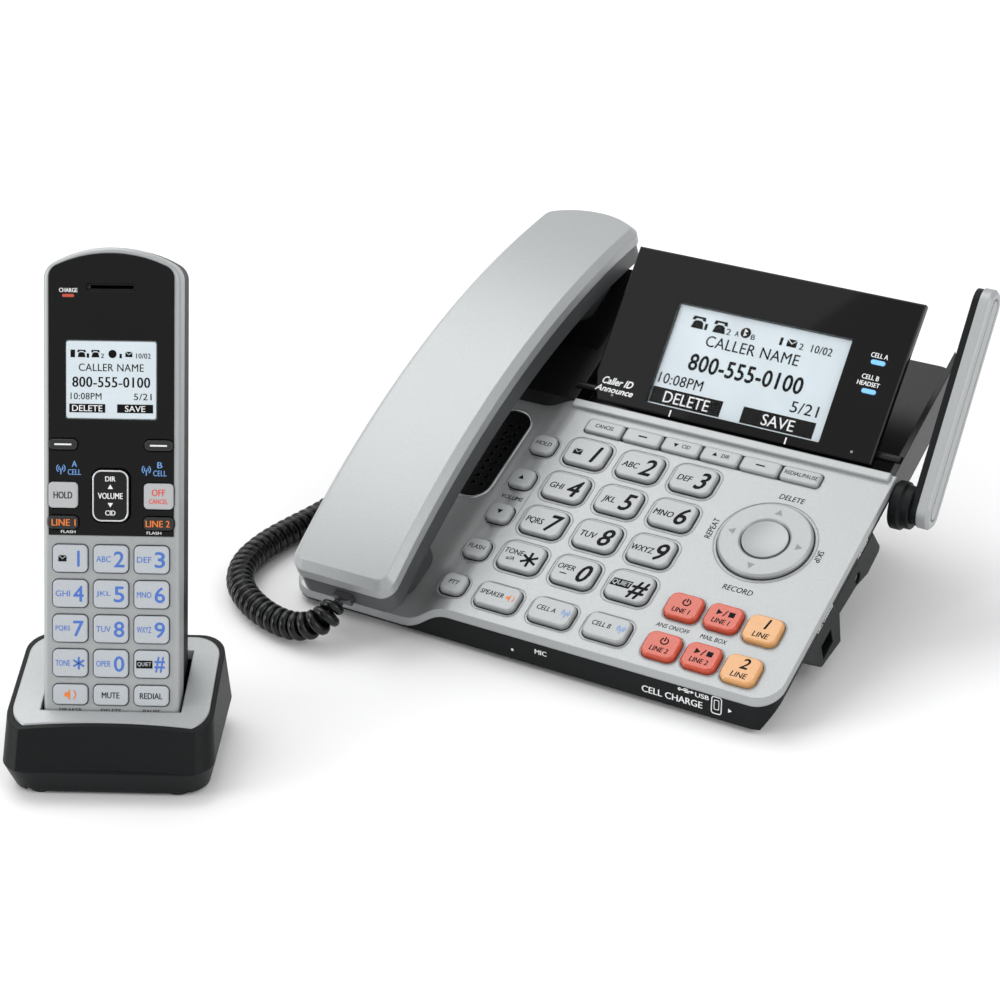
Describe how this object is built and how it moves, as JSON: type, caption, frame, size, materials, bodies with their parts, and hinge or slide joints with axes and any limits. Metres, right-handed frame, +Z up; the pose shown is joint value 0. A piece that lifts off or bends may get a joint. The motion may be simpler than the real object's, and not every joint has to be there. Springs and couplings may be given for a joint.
{
  "type": "cordless phone with base",
  "caption": "Desk telephone with corded handset, curly cord, tilting display and aerial mast, and a cordless handset standing in its own charger.",
  "frame": {"origin": "centre of the whole set's footprint, on the surface it stands on", "axes": "+Z up from the surface, +Y from the front of the keypad towards the raised display, +X towards the aerial mast"},
  "size_m": [0.2428, 0.3306, 0.1587],
  "materials": {
    "silver_plastic": "satin, fine painted grain",
    "black_plastic": "fine moulded grain",
    "gloss_black": "polished",
    "clear_window": "clear, polished",
    "screen": "pale blue-white liquid crystal",
    "lamp": "translucent blue",
    "silver_key": "satin",
    "red_key": "translucent red",
    "amber_key": "translucent amber",
    "chrome_trim": "bright",
    "rubber": "matt",
    "steel": "plain",
    "board": "green solder mask",
    "dark_part": "matt",
    "cord": "glossy jacket",
    "clear_plug": "smoky clear moulding"
  },
  "bodies": {
    "telephone_base": {"deck_shell": "silver_plastic", "base_shell": "black_plastic", "rear_housing": "black_plastic", "desk_stand": "black_plastic", "rubber_feet": "rubber", "stand_screws": "steel", "main_board": "board", "key_mat": "rubber", "speaker_grille": "silver_plastic", "loudspeaker": "steel", "port_housing": "black_plastic", "port_contacts": "steel", "rear_sockets": "dark_part", "charger_body": "black_plastic", "charger_top_plate": "silver_plastic", "charger_contacts": "steel", "cord_coil": "cord", "cord_plug_base": "clear_plug"},
    "hook_switch": {"hook_switch": "black_plastic"},
    "display": {"display_bezel": "gloss_black", "display_window": "clear_window", "display_screen": "screen", "display_lamps": "lamp", "display_cover": "black_plastic"},
    "mast": {"mast_outer_shell": "silver_plastic", "mast_inner_shell": "black_plastic", "mast_hub": "black_plastic"},
    "corded_handset": {"handset_upper_shell": "silver_plastic", "handset_lower_shell": "black_plastic", "handset_capsules": "dark_part", "cord_plug_handset": "clear_plug"},
    "key_0": {"key_0": "silver_key"},
    "key_1": {"key_1": "silver_key"},
    "key_2": {"key_2": "silver_key"},
    "key_3": {"key_3": "silver_key"},
    "key_4": {"key_4": "silver_key"},
    "key_5": {"key_5": "silver_key"},
    "key_6": {"key_6": "silver_key"},
    "key_7": {"key_7": "silver_key"},
    "key_8": {"key_8": "silver_key"},
    "key_9": {"key_9": "silver_key"},
    "key_star": {"key_star": "silver_key"},
    "key_hash": {"key_hash": "silver_key"},
    "navigation_ring": {"navigation_ring": "silver_key"},
    "navigation_centre": {"navigation_centre": "silver_key"},
    "soft_keys": {"soft_keys": "silver_key"},
    "side_keys": {"side_keys": "silver_key"},
    "call_keys": {"call_keys": "silver_key"},
    "answer_keys": {"answer_keys": "red_key"},
    "line_keys": {"line_keys": "amber_key"},
    "cordless_handset": {"cordless_front_shell": "silver_plastic", "cordless_face_panel": "gloss_black", "cordless_window": "clear_window", "cordless_back_shell": "black_plastic", "battery_door": "black_plastic", "battery_pack": "dark_part", "cordless_contacts": "steel"},
    "cordless_number_keys": {"cordless_number_keys": "silver_key"},
    "cordless_function_keys": {"cordless_function_keys": "silver_key"},
    "cordless_rocker": {"cordless_rocker": "chrome_trim"}
  },
  "joints": [
    {"name": "key_0_press", "type": "slide", "parent": "telephone_base", "child": "key_0", "axis": [0, 0.3907, -0.9205], "range_m": [0, 0.0015], "stiffness_N_per_m": 300, "springref_m": -0.0008},
    {"name": "key_1_press", "type": "slide", "parent": "telephone_base", "child": "key_1", "axis": [0, 0.3907, -0.9205], "range_m": [0, 0.0015], "stiffness_N_per_m": 300, "springref_m": -0.0008},
    {"name": "key_2_press", "type": "slide", "parent": "telephone_base", "child": "key_2", "axis": [0, 0.3907, -0.9205], "range_m": [0, 0.0015], "stiffness_N_per_m": 300, "springref_m": -0.0008},
    {"name": "key_3_press", "type": "slide", "parent": "telephone_base", "child": "key_3", "axis": [0, 0.3907, -0.9205], "range_m": [0, 0.0015], "stiffness_N_per_m": 300, "springref_m": -0.0008},
    {"name": "key_4_press", "type": "slide", "parent": "telephone_base", "child": "key_4", "axis": [0, 0.3907, -0.9205], "range_m": [0, 0.0015], "stiffness_N_per_m": 300, "springref_m": -0.0008},
    {"name": "key_5_press", "type": "slide", "parent": "telephone_base", "child": "key_5", "axis": [0, 0.3907, -0.9205], "range_m": [0, 0.0015], "stiffness_N_per_m": 300, "springref_m": -0.0008},
    {"name": "key_6_press", "type": "slide", "parent": "telephone_base", "child": "key_6", "axis": [0, 0.3907, -0.9205], "range_m": [0, 0.0015], "stiffness_N_per_m": 300, "springref_m": -0.0008},
    {"name": "key_7_press", "type": "slide", "parent": "telephone_base", "child": "key_7", "axis": [0, 0.3907, -0.9205], "range_m": [0, 0.0015], "stiffness_N_per_m": 300, "springref_m": -0.0008},
    {"name": "key_8_press", "type": "slide", "parent": "telephone_base", "child": "key_8", "axis": [0, 0.3907, -0.9205], "range_m": [0, 0.0015], "stiffness_N_per_m": 300, "springref_m": -0.0008},
    {"name": "key_9_press", "type": "slide", "parent": "telephone_base", "child": "key_9", "axis": [0, 0.3907, -0.9205], "range_m": [0, 0.0015], "stiffness_N_per_m": 300, "springref_m": -0.0008},
    {"name": "key_star_press", "type": "slide", "parent": "telephone_base", "child": "key_star", "axis": [0, 0.3907, -0.9205], "range_m": [0, 0.0015], "stiffness_N_per_m": 300, "springref_m": -0.0008},
    {"name": "key_hash_press", "type": "slide", "parent": "telephone_base", "child": "key_hash", "axis": [0, 0.3907, -0.9205], "range_m": [0, 0.0015], "stiffness_N_per_m": 300, "springref_m": -0.0008},
    {"name": "navigation_ring_press", "type": "slide", "parent": "telephone_base", "child": "navigation_ring", "axis": [0, 0.3907, -0.9205], "range_m": [0, 0.001], "stiffness_N_per_m": 300, "springref_m": -0.0008},
    {"name": "navigation_centre_press", "type": "slide", "parent": "telephone_base", "child": "navigation_centre", "axis": [0, 0.3907, -0.9205], "range_m": [0, 0.001], "stiffness_N_per_m": 300, "springref_m": -0.0008},
    {"name": "soft_keys_press", "type": "slide", "parent": "telephone_base", "child": "soft_keys", "axis": [0, 0.3907, -0.9205], "range_m": [0, 0.0012], "stiffness_N_per_m": 300, "springref_m": -0.0008},
    {"name": "side_keys_press", "type": "slide", "parent": "telephone_base", "child": "side_keys", "axis": [0, 0.3907, -0.9205], "range_m": [0, 0.0012], "stiffness_N_per_m": 300, "springref_m": -0.0008},
    {"name": "call_keys_press", "type": "slide", "parent": "telephone_base", "child": "call_keys", "axis": [0, 0.3907, -0.9205], "range_m": [0, 0.0012], "stiffness_N_per_m": 300, "springref_m": -0.0008},
    {"name": "answer_keys_press", "type": "slide", "parent": "telephone_base", "child": "answer_keys", "axis": [0, 0.3907, -0.9205], "range_m": [0, 0.0012], "stiffness_N_per_m": 300, "springref_m": -0.0008},
    {"name": "line_keys_press", "type": "slide", "parent": "telephone_base", "child": "line_keys", "axis": [0, 0.3907, -0.9205], "range_m": [0, 0.0012], "stiffness_N_per_m": 300, "springref_m": -0.0008},
    {"name": "cordless_number_keys_press", "type": "slide", "parent": "cordless_handset", "child": "cordless_number_keys", "axis": [-0.4353, 0.8187, -0.3746], "range_m": [0, 0.0007], "stiffness_N_per_m": 300, "springref_m": -0.0008},
    {"name": "cordless_function_keys_press", "type": "slide", "parent": "cordless_handset", "child": "cordless_function_keys", "axis": [-0.4353, 0.8187, -0.3746], "range_m": [0, 0.0007], "stiffness_N_per_m": 300, "springref_m": -0.0008},
    {"name": "cordless_rocker_press", "type": "slide", "parent": "cordless_handset", "child": "cordless_rocker", "axis": [-0.4353, 0.8187, -0.3746], "range_m": [0, 0.0007], "stiffness_N_per_m": 300, "springref_m": -0.0008},
    {"name": "corded_handset_lift", "type": "slide", "parent": "telephone_base", "child": "corded_handset", "axis": [0, -0.3907, 0.9205], "range_m": [0, 0.06]},
    {"name": "hook_switch_travel", "type": "slide", "parent": "telephone_base", "child": "hook_switch", "axis": [0, -0.3907, 0.9205], "range_m": [0, 0.003]},
    {"name": "display_tilt", "type": "hinge", "parent": "telephone_base", "child": "display", "pos_m": [-0.00359, 0.08915, 0.05857], "axis": [1, 0, 0], "range_deg": [-26, 15]},
    {"name": "mast_tilt", "type": "hinge", "parent": "telephone_base", "child": "mast", "pos_m": [0.11341, 0.0827, 0.045], "axis": [1, 0, 0], "range_deg": [-30, 36]},
    {"name": "cordless_handset_lift", "type": "slide", "parent": "telephone_base", "child": "cordless_handset", "axis": [-0.1759, 0.3308, 0.9272], "range_m": [0, 0.04]}
  ],
  "couplings": [
    {"joint": "hook_switch_travel", "follows": "corded_handset_lift", "ratio": 0.05}
  ]
}
